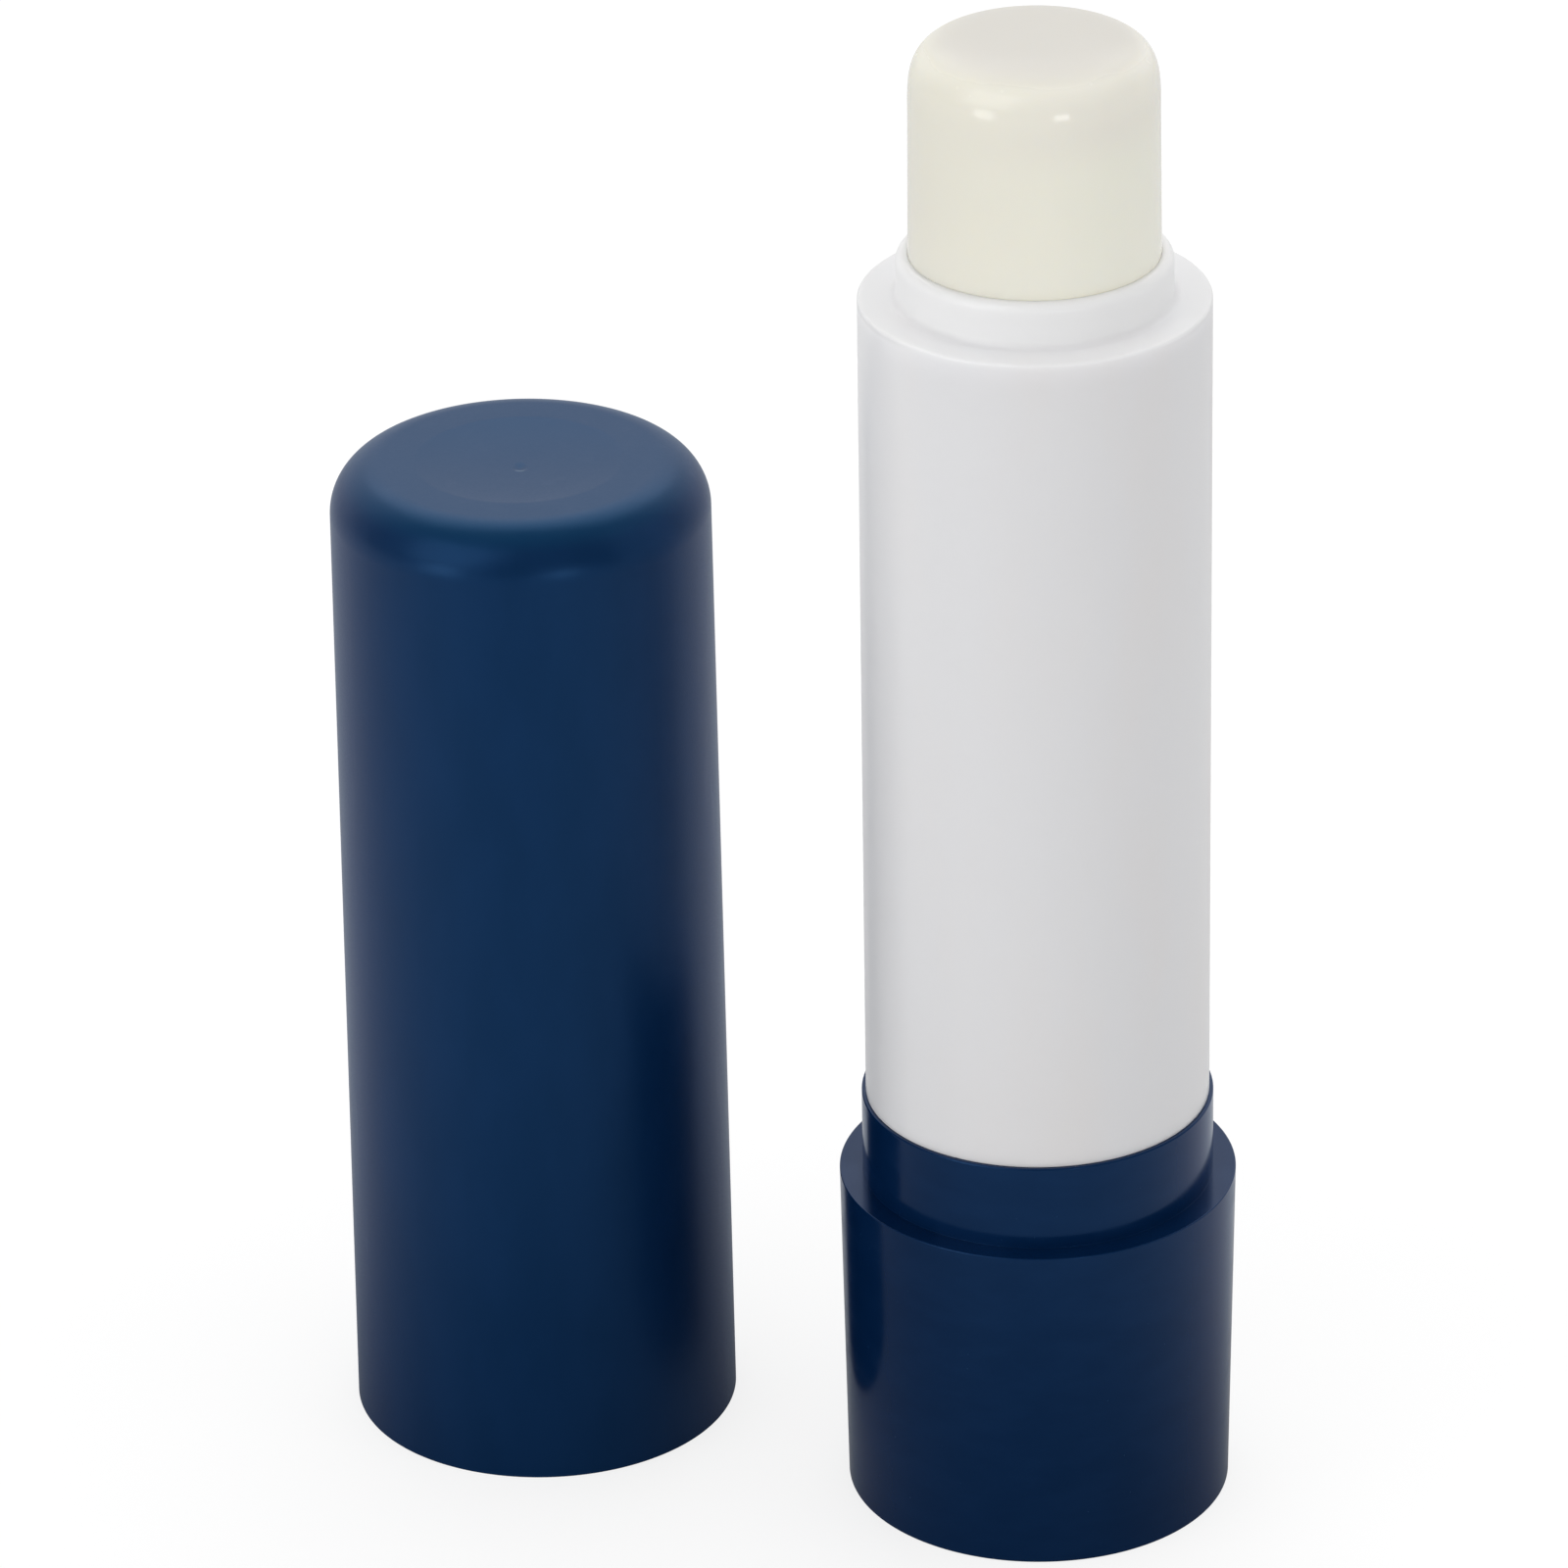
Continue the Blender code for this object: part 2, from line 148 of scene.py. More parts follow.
# Colours as linear red, green and blue
NAVY = (0.0012, 0.0180, 0.0690)
NAVY_PALE = (0.0020, 0.0205, 0.0770)
# Painted light: the cap's top is paler than its side
NAVY_TOP_PAINTED_LIGHT = (0.0015, 0.0330, 0.0940)
# Painted highlight at the front edge of the cap's gate mark
GATE_PAINTED_HIGHLIGHT = (0.12, 0.17, 0.24)
NAVY_GRIP = (0.0010, 0.0155, 0.0610)
NAVY_GRIP_PALE = (0.0018, 0.0180, 0.0680)
SATIN_MIRROR_TINT = (0.21, 0.52, 0.95)
GLOSS_MIRROR_TINT = (0.26, 0.52, 0.95)
WHITE = (0.84, 0.84, 0.86)
WHITE_WARM = (0.845, 0.83, 0.835)
# Painted light: the barrel's neck, and in part its shoulder, are paler
WHITE_NECK_PAINTED_LIGHT = (0.955, 0.955, 0.96)
# Painted light: the barrel's far left side is paler
WHITE_SIDE_PAINTED_LIGHT = (0.93, 0.93, 0.95)
# Painted shade: the two ends of the shoulder are duller
WHITE_ENDS_PAINTED_SHADE = (0.73, 0.73, 0.74)
MILKY = (0.70, 0.70, 0.68)
MILKY_DEEP = (0.62, 0.63, 0.60)
BALM_CREAM = (0.945, 0.93, 0.815)
# Pinker and darker towards the crown: partly the balm's own tint, partly painted shade
BALM_PINK_AND_PAINTED_SHADE = (0.895, 0.87, 0.79)
# Painted shade: the balm's flat top is duller
BALM_TOP_PAINTED_SHADE = (0.70, 0.675, 0.62)
# Painted light: a paler band on the balm where it meets the lip at rest
BALM_LIT = (0.98, 0.95, 0.81)
# Painted shade: the balm's left side is deeper in tone
BALM_SIDE_PAINTED_SHADE = (0.84, 0.82, 0.72)
PAPER = (0.64, 0.64, 0.64)
# Painted shade on the floor near the two items, for every ray but the camera's
PAPER_SHADE = (0.26, 0.26, 0.26)
PAPER_SEEN = (0.95, 0.95, 0.95)
WORLD_LIGHT = (0.73, 0.73, 0.73)
ROOM_MIRRORED = (0.25, 0.25, 0.25)
BACKDROP_MIRRORED = (0.92, 0.92, 0.92)
BACKGROUND = (1, 1, 1)

# How rough each material is before its marks and clouds are added
SATIN_ROUGHNESS = 0.34
GLOSS_ROUGHNESS = 0.15
WHITE_ROUGHNESS = 0.27
MILKY_ROUGHNESS = 0.36
BALM_ROUGHNESS = 0.10
NAVY_METAL_SHARE = 0.2
BALM_IOR = 1.45

# Where tones change, from and to, most of them painted light or shade: heights, x for a side, x
# either way for the shoulder's ends
CAP_TOP_LIGHT_TONE = (50.4, 51.4)
SHOULDER_TONE = (SHOULDER - 0.4, SHOULDER - 0.05)
NECK_LIGHT_TONE = (SHOULDER + 0.05, SHOULDER + 0.4)
WHITE_SIDE_LIGHT_TONE = (-8.8, -4.5)
SHOULDER_ENDS_SHADE_TONE = (5.5, 8.0)
LIP_LIGHT_START_TONE = (NECK_TOP - 1.2, NECK_TOP - 0.2)
LIP_LIGHT_END_TONE = (NECK_TOP - 0.2, NECK_TOP + 1.0)
BALM_SIDE_SHADE_TONE = (-6, 4)
CROWN_TINT_AND_SHADE_TONE = (71.5, 74.3)
CREST_TONE = (74.7, 76.7)
FLAT_SHADE_TONE = (76.0, 76.7)
# The shoulder's share of the neck's painted light
SHOULDER_LIGHT_SHARE = 0.3
# Reach that counts a distance along x alone
SIDEWAYS = (1, math.inf, math.inf)
# Part of a cloud's range over which its two tones blend
CLOUD_BLEND = (0.3, 0.7)

# Floor: half its width in metres, its glow's level and the share of it that the camera sees
FLOOR_HALF = 3.0
FLOOR_GLOW_LEVEL = 1.06
FLOOR_GLOW_SHARE = 0.72
# Middles of the two painted shades, and the distances from them at which the floor changes
STICK_SHADE = (0, -6, 0)
CAP_SHADE = (CAP_X, CAP_Y - 11, 0)
PAPER_CHANGE = (8, 60)
MIRROR_CHANGE = (8, 42)
GLOW_CHANGE = (60, 250)
# Part of the glow that glossy rays see at a painted shade's middle, and what is added farther out
MIRROR_NEAR = 0.14
MIRROR_ADDED = 0.28

# World: where the backdrop starts and is full, as the y part of a direction
BACKDROP_RISE = (0.1, 0.75)

# Height on the stick's axis that the lamps stand round and point at, in metres
AIM_HEIGHT = 0.04

# Camera: its place, its angles in radians, and its lens with the sensor behind it
CAMERA_PLACE = (-12.1732, -393.8936, 233.6019)
CAMERA_PITCH = 0.46042
CAMERA_ROLL = -0.01706
CAMERA_LENS = 209.34
CAMERA_SENSOR = 36
# Nearest and farthest things that it shows, in metres
CAMERA_NEAR = 0.01
CAMERA_FAR = 10

# Colour sockets of a Mix node, whose names repeat
MIX_FIRST = 6
MIX_SECOND = 7
MIX_RESULT = 2
# Step between nodes in the node editor
NODE_STEP = 180


class Wire:
    """One output of a material's nodes. Sums written with it add Math nodes to the material."""

    def __init__(self, tree, socket=None):
        self.tree = tree
        self.socket = socket

    def node(self, kind, settings=None, sockets=None, output=0):
        """Add a node of this kind: its settings first, then its sockets' values or wires."""
        made = self.tree.nodes.new(kind)
        made.location.x = NODE_STEP * len(self.tree.nodes)
        for name, value in (settings or {}).items():
            setattr(made, name, value)
        for name, value in (sockets or {}).items():
            if isinstance(value, Wire):
                self.tree.links.new(value.socket, made.inputs[name])
            else:
                made.inputs[name].default_value = value
        return Wire(self.tree, made.outputs[output])

    def math(self, operation, *values):
        """Math node on these values or wires."""
        return self.node("ShaderNodeMath", {"operation": operation}, dict(enumerate(values)))

    def __add__(self, other):
        return self.math("ADD", self, other)

    def __sub__(self, other):
        return self.math("SUBTRACT", self, other)

    def __rsub__(self, other):
        return self.math("SUBTRACT", other, self)

    def __mul__(self, other):
        return self.math("MULTIPLY", self, other)

    __radd__ = __add__
    __rmul__ = __mul__

    def step(self, low, high):
        """Smooth rise from 0 to 1 as this value goes from low to high."""
        settings = {"interpolation_type": "SMOOTHSTEP"}
        sockets = {"Value": self, "From Min": low, "From Max": high}
        return self.node("ShaderNodeMapRange", settings, sockets)

    def blend(self, first, second):
        """Colour that goes from the first to the second as this value goes from 0 to 1."""
        sockets = {"Factor": self, MIX_FIRST: colour(first), MIX_SECOND: colour(second)}
        return self.node("ShaderNodeMix", {"data_type": "RGBA"}, sockets, output=MIX_RESULT)

    def along(self, axis):
        """The X, Y or Z part of this place or direction."""
        return self.node("ShaderNodeSeparateXYZ", None, {"Vector": self}, output=axis)

    def rise(self, axis, low, high):
        """Smooth rise from 0 to 1 as this place goes from low to high millimetres along an axis."""
        return self.along(axis).step(low * MM, high * MM)

    def cloud(self, size, detail=2, stretch=1):
        """Noise with features of this size in millimetres, drawn out along Z by stretch."""
        scaled = self.node("ShaderNodeMapping", None, {"Vector": self, "Scale": (1, 1, 1 / stretch)})
        sockets = {"Vector": scaled, "Scale": 1 / (size * MM), "Detail": detail}
        return self.node("ShaderNodeTexNoise", None, sockets)

    def away(self, centre, reach=(1, 1, 1)):
        """Distance from a centre in millimetres, counted along each axis in steps of its reach."""
        scale = [1 / (step * MM) for step in reach]
        middle = [place * MM for place in centre]
        apart = self.node("ShaderNodeVectorMath", {"operation": "SUBTRACT"}, {0: self, 1: middle})
        counted = self.node("ShaderNodeVectorMath", {"operation": "MULTIPLY"}, {0: apart, 1: scale})
        length = {"operation": "LENGTH"}
        return self.node("ShaderNodeVectorMath", length, {0: counted}, output="Value")

    def dots(self, spacing):
        """Distance to the nearest of scattered points this far apart, in shares of the spacing."""
        sockets = {"Vector": self, "Scale": 1 / (spacing * MM)}
        return self.node("ShaderNodeTexVoronoi", None, sockets)

    def relief(self, depth, below=None):
        """Bump whose height is this value times the depth in millimetres, on top of another bump."""
        sockets = {"Strength": 1.0, "Distance": depth * MM, "Height": self}
        if below:
            sockets["Normal"] = below
        return self.node("ShaderNodeBump", None, sockets)


def colour(value):
    """A wire as it is, or linear red, green and blue with full alpha."""
    return value if isinstance(value, Wire) else (*value, 1)


def plastic(name):
    """New material: returns it, its shader, and the wire of Object coordinates."""
    material = bpy.data.materials.new(name)
    material.use_nodes = True
    tree = material.node_tree
    place = Wire(tree).node("ShaderNodeTexCoord", output="Object")
    return material, tree.nodes["Principled BSDF"], place


def feed(shader, **wires):
    """Link wires to the shader's sockets, whose names have spaces for underscores."""
    tree = shader.id_data
    for name, wire in wires.items():
        tree.links.new(wire.socket, shader.inputs[name.replace("_", " ")])


def tint_mirror(shader, tint):
    """Tint what a navy plastic mirrors, and make it a little metallic."""
    shader.inputs["Specular Tint"].default_value = colour(tint)
    shader.inputs["Metallic"].default_value = NAVY_METAL_SHARE


def let_light_in(shader, weight, reach, scale):
    """Scatter this share of the light inside, with a reach for each colour in steps of the scale."""
    shader.inputs["Subsurface Weight"].default_value = weight
    shader.inputs["Subsurface Radius"].default_value = reach
    shader.inputs["Subsurface Scale"].default_value = scale * MM


def navy_satin():
    """Satin navy plastic of the cap: a fine eroded grain, a faint flow mottle and rubbed marks.

    Its top is paler than its side, a painted light, and the gate mark's front edge paler still, a
    painted highlight.
    """
    material, shader, place = plastic("navy satin plastic")
    mottle = place.cloud(2.6, detail=3, stretch=2.5)
    grain = place.cloud(0.11)
    rubbed = place.cloud(0.9, detail=5, stretch=6).step(0.56, 0.74)
    tone = mottle.step(*CLOUD_BLEND).blend(NAVY, NAVY_PALE)
    # Painted light: the cap's top paler than its side
    tone = place.rise("Z", *CAP_TOP_LIGHT_TONE).blend(tone, NAVY_TOP_PAINTED_LIGHT)
    # Painted highlight at the gate mark's front edge
    gate_highlight_middle = (CAP_X + GATE_X, CAP_Y + GATE_Y - GATE_HIGHLIGHT_FRONT, CAP_TOP)
    gate_painted_highlight = 1 - place.away(gate_highlight_middle, GATE_HIGHLIGHT_REACH).step(0.4, 1.1)
    feed(
        shader,
        Base_Color=gate_painted_highlight.blend(tone, GATE_PAINTED_HIGHLIGHT),
        Roughness=SATIN_ROUGHNESS + 0.10 * (grain - 0.5) + 0.05 * (mottle - 0.5) - 0.03 * rubbed,
        Normal=grain.relief(0.0022, place.cloud(1.3).relief(0.004)),
    )
    tint_mirror(shader, SATIN_MIRROR_TINT)
    return material


def navy_gloss():
    """Glossy navy plastic of the base: a faint ripple, fine hand marks and a little dust."""
    material, shader, place = plastic("navy gloss plastic")
    ripple = place.cloud(1.8)
    smear = place.cloud(3.0, detail=4, stretch=0.4)
    dust = 1 - place.dots(1.1).step(0.02, 0.05)
    feed(
        shader,
        Base_Color=smear.step(*CLOUD_BLEND).blend(NAVY_GRIP, NAVY_GRIP_PALE),
        Roughness=GLOSS_ROUGHNESS + 0.07 * smear.step(0.45, 0.75) + 0.2 * dust,
        Normal=ripple.relief(0.0012, place.cloud(0.12).relief(0.0003)),
    )
    tint_mirror(shader, GLOSS_MIRROR_TINT)
    return material


def white_gloss():
    """Glossy white plastic of the barrel: a faint warm flow, a soft ripple and light scuffs.

    The neck and the left side are paler than the rest, a painted light, and the two ends of the
    shoulder duller, a painted shade.
    """
    material, shader, place = plastic("white gloss plastic")
    flow = place.cloud(5.0, detail=3, stretch=3)
    scuff = place.cloud(0.5, detail=5, stretch=8).step(0.6, 0.75)
    shoulder = place.rise("Z", *SHOULDER_TONE)
    # Painted light on the neck, with a share of it on the shoulder
    neck = SHOULDER_LIGHT_SHARE * shoulder + (1 - SHOULDER_LIGHT_SHARE) * place.rise("Z", *NECK_LIGHT_TONE)
    # Painted light on the barrel's far left side
    side = 1 - place.rise("X", *WHITE_SIDE_LIGHT_TONE)
    # Painted shade at the two ends of the shoulder
    ends = shoulder * place.away((0, 0, 0), SIDEWAYS).step(*SHOULDER_ENDS_SHADE_TONE)
    tone = flow.step(0.35, 0.75).blend(WHITE, WHITE_WARM)
    tone = ends.blend((side * (1 - shoulder)).blend(tone, WHITE_SIDE_PAINTED_LIGHT), WHITE_ENDS_PAINTED_SHADE)
    feed(
        shader,
        Base_Color=neck.blend(tone, WHITE_NECK_PAINTED_LIGHT),
        Roughness=WHITE_ROUGHNESS + 0.05 * flow + 0.08 * scuff,
        Normal=place.cloud(2.2).relief(0.0014, place.cloud(0.15).relief(0.0004)),
    )
    let_light_in(shader, weight=0.5, reach=(1.0, 1.0, 1.0), scale=1.0)
    return material


def milky_plastic():
    """Uncoloured plastic of the inner pieces: milky, with flow clouds and a dull moulded skin."""
    material, shader, place = plastic("milky plastic")
    flow = place.cloud(3.0, detail=4, stretch=2)
    skin = place.cloud(0.2, detail=3)
    feed(
        shader,
        Base_Color=flow.step(*CLOUD_BLEND).blend(MILKY, MILKY_DEEP),
        Roughness=MILKY_ROUGHNESS + 0.12 * skin,
        Normal=skin.relief(0.002),
    )
    let_light_in(shader, weight=0.15, reach=(1.0, 1.0, 0.9), scale=0.5)
    return material


def balm_wax():
    """Balm: creamy wax, pinker and darker towards its crown, partly its tint and partly painted shade,
    with soft clouds, draw marks and fine pits.

    A paler band, a painted light, lies where it meets the lip at rest, and its left side is deeper
    in tone, a painted shade. Its flat top is duller, a painted shade, and the crest round that is
    rougher.
    """
    material, shader, place = plastic("balm wax")
    cloud = place.cloud(2.4, detail=4, stretch=1.6)
    draw = place.cloud(0.35, stretch=14)
    pits = 1 - place.dots(0.7).step(0.05, 0.16)
    # Painted light: a paler band where the balm meets the lip at rest
    band = place.rise("Z", *LIP_LIGHT_START_TONE) * (1 - place.rise("Z", *LIP_LIGHT_END_TONE))
    # Painted shade on the balm's left side
    side = 1 - place.rise("X", *BALM_SIDE_SHADE_TONE)
    # Crown tone: partly the balm's tint, partly painted shade against the light from above
    crown = place.rise("Z", *CROWN_TINT_AND_SHADE_TONE)
    crest = place.rise("Z", *CREST_TONE)
    # Painted shade on the balm's flat top
    flat = place.rise("Z", *FLAT_SHADE_TONE)
    tone = (0.85 * crown + 0.5 * (cloud - 0.4)).blend(BALM_CREAM, BALM_PINK_AND_PAINTED_SHADE)
    tone = side.blend(band.blend(tone, BALM_LIT), BALM_SIDE_PAINTED_SHADE)
    feed(
        shader,
        Base_Color=flat.blend(tone, BALM_TOP_PAINTED_SHADE),
        Roughness=BALM_ROUGHNESS + 0.06 * cloud + 0.1 * pits + 0.18 * crest,
        Normal=(draw - 0.3 * pits).relief(0.0012, cloud.relief(0.012)),
    )
    let_light_in(shader, weight=0.3, reach=(1.0, 0.9, 0.7), scale=1.8)
    shader.inputs["IOR"].default_value = BALM_IOR
    return material


def unit(arms):
    """Rows scaled to a length of one."""
    return arms / np.linalg.norm(arms, axis=1, keepdims=True)


def rounded(corners, closed):
    """Outline through rows of (radius, height, rounding), each corner turned as an arc.

    With h half the angle at a corner and s = pi - 2 h, the arc's ends lie rounding / tan(h) along
    the two sides and its middle rounding / sin(h) along their bisector. A point at share t of the
    arc is the middle + start arm sin((1 - t) s) / sin(s) + end arm sin(t s) / sin(s). A further
    point a little outside each end keeps the walls flat in the shading. An open outline keeps its
    two end points as they are.
    """
    corners = np.array(corners, float)
    place = corners[:, :2]
    turning = slice(None) if closed else slice(1, -1)
    rounding = corners[turning, 2:]
    corner = place[turning]
    back = unit((np.roll(place, 1, axis=0) - place)[turning])
    ahead = unit((np.roll(place, -1, axis=0) - place)[turning])
    half = np.arccos((back * ahead).sum(axis=1, keepdims=True)) / 2
    spread = (np.pi - 2 * half)[:, None]
    middle = corner + unit(back + ahead) * rounding / np.sin(half)
    start = corner + back * rounding / np.tan(half)
    end = corner + ahead * rounding / np.tan(half)
    share = np.linspace(0, 1, ARC_STEPS + 1)[None, :, None]
    start_arm = (start - middle)[:, None] * np.sin((1 - share) * spread) / np.sin(spread)
    end_arm = (end - middle)[:, None] * np.sin(share * spread) / np.sin(spread)
    arcs = middle[:, None] + start_arm + end_arm
    before = (start + back * SUPPORT * rounding)[:, None]
    after = (end + ahead * SUPPORT * rounding)[:, None]
    points = np.concatenate([before, arcs, after], axis=1).reshape(-1, 2)
    return points if closed else np.concatenate([place[:1], points, place[-1:]])


def soft_edge(side_radius, top_height, reach, drop, power):
    """Quarter of (x / reach)^power + (y / drop)^power = 1, from an upright side to a flat top."""
    turn = np.linspace(0, np.pi / 2, EDGE_STEPS + 1)
    radius = side_radius - reach + reach * np.cos(turn) ** (2 / power)
    height = top_height - drop + drop * np.sin(turn) ** (2 / power)
    return np.stack([radius, height], axis=1)


def smooth(value):
    """Smooth rise 3 t^2 - 2 t^3 as the value goes from 0 to 1."""
    share = np.clip(value, 0, 1)
    return share * share * (3 - 2 * share)


def turned(outline, x=0, y=0):
    """Points and faces turned about an upright axis from rows of (radius, height).

    At angle a a row gives the point (x + radius cos a, y + radius sin a, height). An outline whose
    ends lie on the axis gets one point at each pole, and any other closes on itself.
    """
    poled = outline[0, 0] == 0
    rings = outline[1:-1] if poled else outline
    angle = np.arange(SIDES) * 2 * np.pi / SIDES
    radius = rings[:, :1]
    height = np.repeat(rings[:, 1:], SIDES, axis=1)
    points = np.stack([x + radius * np.cos(angle), y + radius * np.sin(angle), height], axis=-1)
    points = points.reshape(-1, 3)
    around = np.arange(SIDES)
    beside = np.roll(around, -1)
    lower = np.arange(len(rings) - 1 if poled else len(rings))[:, None] * SIDES
    upper = (lower + SIDES) % len(points)
    quads = np.stack([lower + around, lower + beside, upper + beside, upper + around], axis=-1)
    faces = quads.reshape(-1, 4).tolist()
    if poled:
        last = len(points) - SIDES
        foot_pole = np.full(SIDES, len(points))
        top_pole = foot_pole + 1
        faces += np.stack([foot_pole, beside, around], axis=-1).tolist()
        faces += np.stack([last + around, last + beside, top_pole], axis=-1).tolist()
        poles = [(x, y, outline[0, 1]), (x, y, outline[-1, 1])]
        points = np.concatenate([points, poles])
    return points, faces


def piece(name, shape, material, body, node):
    """Object in metres from points and faces in millimetres, riding its body in place of a node."""
    points, faces = shape
    mesh = bpy.data.meshes.new(name)
    mesh.from_pydata((points * MM).tolist(), [], faces)
    mesh.materials.append(material)
    mesh.shade_smooth()
    made = bpy.data.objects.new(name, mesh)
    bpy.context.scene.collection.objects.link(made)
    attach(made, body)
    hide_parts(node)


def base_outline():
    """Outside from the flat underside to the collar, then the bore, its bead groove and spigot."""
    return rounded(
        [
            (0, 0, 0),
            (BASE_FOOT_RADIUS, 0, SMALL_EDGE),
            (BASE_SEAT_RADIUS, BASE_HEIGHT, SMALL_EDGE),
            (COLLAR_RADIUS, BASE_HEIGHT, COLLAR_FOOT_EDGE),
            (COLLAR_RADIUS, COLLAR_TOP, COLLAR_TOP_EDGE),
            (BASE_BORE, COLLAR_TOP, SMALL_EDGE),
            (BASE_BORE, BEAD_GROOVE_TOP, SMALL_EDGE),
            (BEAD_GROOVE_RADIUS, BEAD_GROOVE_TOP, SMALL_EDGE),
            (BEAD_GROOVE_RADIUS, BEAD_GROOVE_FOOT, SMALL_EDGE),
            (BASE_BORE, BEAD_GROOVE_FOOT, SMALL_EDGE),
            (BASE_BORE, BASE_FLOOR, SMALL_EDGE),
            (SPIGOT_RADIUS, BASE_FLOOR, SMALL_EDGE),
            (SPIGOT_RADIUS, SPIGOT_TOP, SPIGOT_EDGE),
            (SPIGOT_BORE, SPIGOT_TOP, SPIGOT_EDGE),
            (SPIGOT_BORE, BASE_FLOOR, SMALL_EDGE),
            (0, BASE_FLOOR, 0),
        ],
        closed=False,
    )


def barrel_outline():
    """Shell from its foot up to the shoulder and the neck's lip, then down the bores."""
    return rounded(
        [
            (BARREL_BORE, BARREL_FOOT, SMALL_EDGE),
            (BARREL_FOOT_RADIUS, BARREL_FOOT, BARREL_FOOT_EDGE),
            (BARREL_TOP_RADIUS, SHOULDER, SHOULDER_EDGE),
            (NECK_RADIUS, SHOULDER, NECK_FILLET),
            (NECK_RADIUS, NECK_TOP, NECK_TOP_EDGE),
            (LIP_BORE, NECK_TOP, LIP_BORE_EDGE),
            (LIP_BORE, NECK_TOP - LIP_DEPTH, LIP_BORE_EDGE),
            (NECK_BORE, NECK_TOP - LIP_DEPTH - LIP_FUNNEL, LIP_BORE_EDGE),
            (NECK_BORE, SHOULDER_UNDERSIDE, SMALL_EDGE),
            (BARREL_BORE, SHOULDER_UNDERSIDE, SMALL_EDGE),
        ],
        closed=True,
    )


def balm_shape():
    """Balm: a foot in the cup, a slightly tapered body and a soft crown, cast a little unevenly.

    From the lip up to the crown the height gains a growing share of x, and the radius a growing
    share of some thousandths of a millimetre, as cosines of the angle and of the height.
    """
    foot = rounded(
        [
            (0, BALM_FOOT, 0),
            (BALM_FOOT_RADIUS, BALM_FOOT, BALM_FOOT_EDGE),
            (BALM_FOOT_RADIUS, BALM_BODY_FOOT, BALM_STEP_EDGE),
            (BALM_RADIUS, BALM_BODY_FOOT, BALM_STEP_EDGE),
            (BALM_RADIUS, NECK_TOP, 0),
        ],
        closed=False,
    )
    body = np.linspace(BALM_BODY_FOOT + BALM_ROWS_MARGIN, NECK_TOP - BALM_ROWS_MARGIN, BALM_ROWS)
    body = np.stack([np.full(BALM_ROWS, BALM_RADIUS), body], axis=1)
    crown = soft_edge(BALM_TOP_RADIUS, BALM_TOP, CROWN_REACH, CROWN_DROP, CROWN_POWER)
    outline = np.concatenate([foot[:-1], body, foot[-1:], crown, [(0, BALM_TOP)]])
    points, faces = turned(outline)
    x, y, height = points.T
    angle = np.arctan2(y, x)
    share = smooth((height - NECK_TOP) / (BALM_TOP - NECK_TOP))
    wave = sum(
        size * np.cos(count * angle + climb * height + start)
        for size, count, climb, start in BALM_WAVES
    )
    swell = 1 + wave * share / BALM_RADIUS
    lean = share * BALM_LEAN * x
    return np.stack([x * swell, y * swell, height + lean], axis=1), faces


def cap_outline():
    """Ceiling and bore, the mouth, the tapered side, the soft top edge and the dished top.

    The dish is a bowl: its depth is DISH_DEPTH (1 - (radius / DISH_RADIUS)^2).
    """
    inside = rounded(
        [
            (0, CAP_CEILING, 0),
            (CAP_TOP_BORE, CAP_CEILING, CAP_CEILING_EDGE),
            (CAP_MOUTH_BORE, CAP_MOUTH_CHAMFER, SMALL_EDGE),
            (CAP_MOUTH_BORE + CAP_MOUTH_CHAMFER, 0, SMALL_EDGE),
            (CAP_MOUTH_RADIUS, 0, CAP_MOUTH_EDGE),
            (CAP_TOP_RADIUS, CAP_TOP - CAP_EDGE_DROP, 0),
        ],
        closed=False,
    )
    edge = soft_edge(CAP_TOP_RADIUS, CAP_TOP, CAP_EDGE_REACH, CAP_EDGE_DROP, CAP_EDGE_POWER)
    dish = np.linspace(DISH_RADIUS, DISH_INNER, DISH_ROWS)
    gate = np.linspace(GATE_OUTER, 0, GATE_ROWS)
    radius = np.concatenate([DISH_RINGS, dish, gate])
    depth = DISH_DEPTH * np.clip(1 - (radius / DISH_RADIUS) ** 2, 0, 1)
    top = np.stack([radius, CAP_TOP - depth], axis=1)
    return np.concatenate([inside[:-1], edge, top])


def cap_shape():
    """Cap with its gate mark: a dimple a little off the axis, steep in front and gentle behind.

    Its depth falls smoothly from GATE_DEPTH to nothing, as smooth() rises, over its reach.
    """
    points, faces = turned(cap_outline(), CAP_X, CAP_Y)
    x, y, height = points.T
    aside = (x - CAP_X - GATE_X) / GATE_FRONT
    behind = y - CAP_Y - GATE_Y
    behind = behind / np.where(behind > 0, GATE_BACK, GATE_FRONT)
    bowl = GATE_DEPTH * (1 - smooth(np.hypot(aside, behind)))
    on_top = height > CAP_TOP - 2 * DISH_DEPTH
    return np.stack([x, y, height - bowl * on_top], axis=1), faces


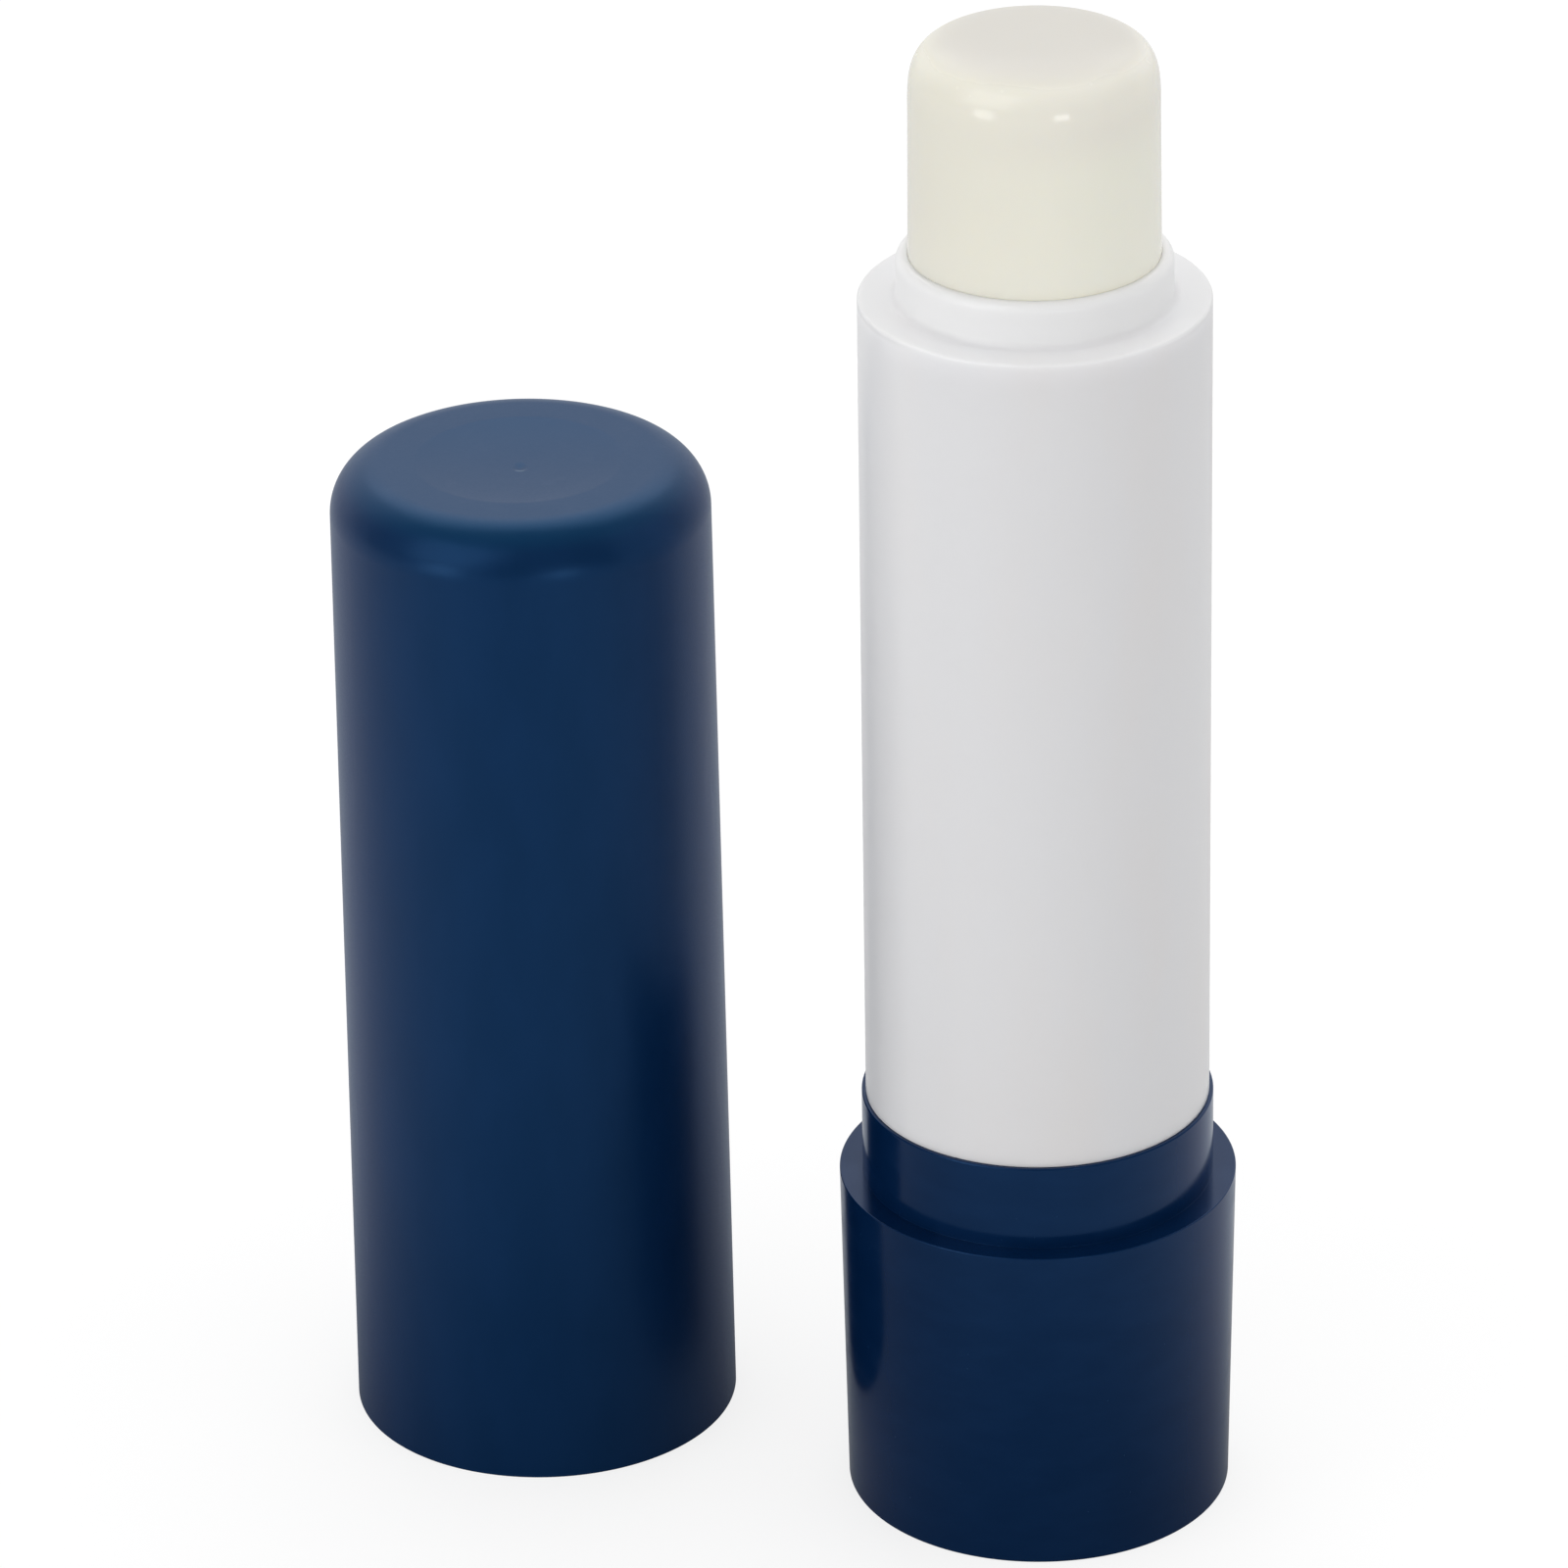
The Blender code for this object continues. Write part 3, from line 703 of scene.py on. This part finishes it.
def lamp(name, azimuth, elevation, distance, size, level, mirrored=True, lighting=True):
    """Area lamp seen from the stick at this azimuth and elevation, in degrees.

    Azimuth 0 is towards the camera and positive to the right. The distance and the size, which is
    the width and the height, are in metres. The level is the brightness of its face, where 1 is
    white, so its power is pi times the level times its area. A lamp can be kept out of the
    reflections, or light nothing and be seen only in them.
    """
    width, height = size
    light = bpy.data.lights.new(name, "AREA")
    light.shape = "RECTANGLE"
    light.size = width
    light.size_y = height
    light.energy = math.pi * level * width * height
    made = bpy.data.objects.new(name, light)
    bpy.context.scene.collection.objects.link(made)
    turn = math.radians(azimuth)
    rise = math.radians(elevation)
    flat = distance * math.cos(rise)
    target = Vector((0, 0, AIM_HEIGHT))
    lifted = AIM_HEIGHT + distance * math.sin(rise)
    place = Vector((flat * math.sin(turn), -flat * math.cos(turn), lifted))
    made.location = place
    made.rotation_euler = (target - place).to_track_quat("-Z", "Y").to_euler()
    made.visible_camera = False
    made.visible_glossy = mirrored
    made.visible_diffuse = lighting


def white_rays(start, glossy_share):
    """1 for camera and transmission rays, the glossy share for glossy rays, 0 for any other."""
    seen = start.node("ShaderNodeLightPath", output="Is Camera Ray")
    passed = start.node("ShaderNodeLightPath", output="Is Transmission Ray")
    mirrored = start.node("ShaderNodeLightPath", output="Is Glossy Ray")
    return seen + passed + glossy_share * mirrored


def make_world():
    """Plain grey light all round, which the camera sees as white.

    Glossy rays see the white backdrop behind the stick and the dimmer room behind the camera.
    """
    world = bpy.data.worlds.new("studio")
    world.use_nodes = True
    bpy.context.scene.world = world
    tree = world.node_tree
    start = Wire(tree)
    direction = start.node("ShaderNodeTexCoord", output="Generated")
    backdrop = direction.along("Y").step(*BACKDROP_RISE).blend(ROOM_MIRRORED, BACKDROP_MIRRORED)
    mirrored = start.node("ShaderNodeLightPath", output="Is Glossy Ray")
    level = white_rays(start, 0).blend(mirrored.blend(WORLD_LIGHT, backdrop), BACKGROUND)
    tree.links.new(level.socket, tree.nodes["Background"].inputs["Color"])


def make_floor():
    """Pale table top that runs out of the picture. It glows white to the camera under its shade.

    Near the two items the paper is painted darker, a painted shade, so it throws back less light,
    and glossy rays see less of the glow there, a painted shade in what they mirror. Far from them
    the camera sees the glow alone.
    """
    mesh = bpy.data.meshes.new("floor")
    corners = [
        (-FLOOR_HALF, -FLOOR_HALF, 0),
        (FLOOR_HALF, -FLOOR_HALF, 0),
        (FLOOR_HALF, FLOOR_HALF, 0),
        (-FLOOR_HALF, FLOOR_HALF, 0),
    ]
    mesh.from_pydata(corners, [], [(0, 1, 2, 3)])
    floor = bpy.data.objects.new("floor", mesh)
    bpy.context.scene.collection.objects.link(floor)
    material = bpy.data.materials.new("table paper")
    material.use_nodes = True
    tree = material.node_tree
    tree.nodes.remove(tree.nodes["Principled BSDF"])
    start = Wire(tree)
    place = start.node("ShaderNodeTexCoord", output="Object")
    near = start.math("MINIMUM", place.away(STICK_SHADE), place.away(CAP_SHADE))
    paper = near.step(*PAPER_CHANGE).blend(PAPER_SHADE, PAPER)
    tone = white_rays(start, 0).blend(paper, PAPER_SEEN)
    diffuse = start.node("ShaderNodeBsdfDiffuse", None, {"Color": tone})
    glow = start.node("ShaderNodeEmission", None, {"Strength": FLOOR_GLOW_LEVEL})
    share = FLOOR_GLOW_SHARE * white_rays(start, MIRROR_NEAR + MIRROR_ADDED * near.step(*MIRROR_CHANGE))
    share = share + (1 - FLOOR_GLOW_SHARE) * near.step(*GLOW_CHANGE) * white_rays(start, 0)
    mixed = start.node("ShaderNodeMixShader", None, {0: share, 1: diffuse, 2: glow})
    tree.links.new(mixed.socket, tree.nodes["Material Output"].inputs["Surface"])
    mesh.materials.append(material)


def make_camera():
    """Camera at the photograph's place: pitched down, rolled a little, with a long lens."""
    lens = bpy.data.cameras.new("camera")
    lens.lens = CAMERA_LENS
    lens.sensor_width = CAMERA_SENSOR
    lens.clip_start = CAMERA_NEAR
    lens.clip_end = CAMERA_FAR
    made = bpy.data.objects.new("camera", lens)
    bpy.context.scene.collection.objects.link(made)
    pitch = Matrix.Rotation(math.pi / 2 - CAMERA_PITCH, 4, "X")
    roll = Matrix.Rotation(CAMERA_ROLL, 4, "Z")
    made.matrix_world = Matrix.Translation(Vector(CAMERA_PLACE) * MM) @ pitch @ roll
    bpy.context.scene.camera = made


satin = navy_satin()
gloss = navy_gloss()
white = white_gloss()
milky = milky_plastic()
wax = balm_wax()
piece("base_grip", turned(base_outline()), gloss, "base_body", "base")
piece("barrel_shell", turned(barrel_outline()), white, "barrel_body", "barrel")
piece("balm_bullet", balm_shape(), wax, "balm_carrier", "balm")
piece("cap_shell", cap_shape(), satin, "cap_body", "cap")
for inner in ("inner_tube", "spiral_sleeve", "balm_cup"):
    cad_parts[inner].data.materials.clear()
    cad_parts[inner].data.materials.append(milky)

make_camera()
make_world()
make_floor()
lamp("back lamp", azimuth=180, elevation=51, distance=0.9, size=(0.8, 0.68), level=0.96)
lamp("top lamp", azimuth=90, elevation=80, distance=0.9, size=(0.6, 0.6), level=0.5, mirrored=False)
lamp("left lamp", azimuth=-64, elevation=14, distance=0.8, size=(0.45, 0.45), level=1.45, mirrored=False)
lamp("right lamp", azimuth=75, elevation=48, distance=0.8, size=(0.45, 0.45), level=0.48, mirrored=False)
lamp("left softbox", azimuth=-48, elevation=36, distance=0.9, size=(0.7, 0.7), level=1.4, lighting=False)
lamp("left window", azimuth=-48, elevation=3, distance=0.7, size=(0.22, 0.16), level=3.8)
lamp("right window", azimuth=23, elevation=2, distance=0.7, size=(0.16, 0.11), level=5.5)

bpy.context.scene.view_settings.view_transform = "Standard"
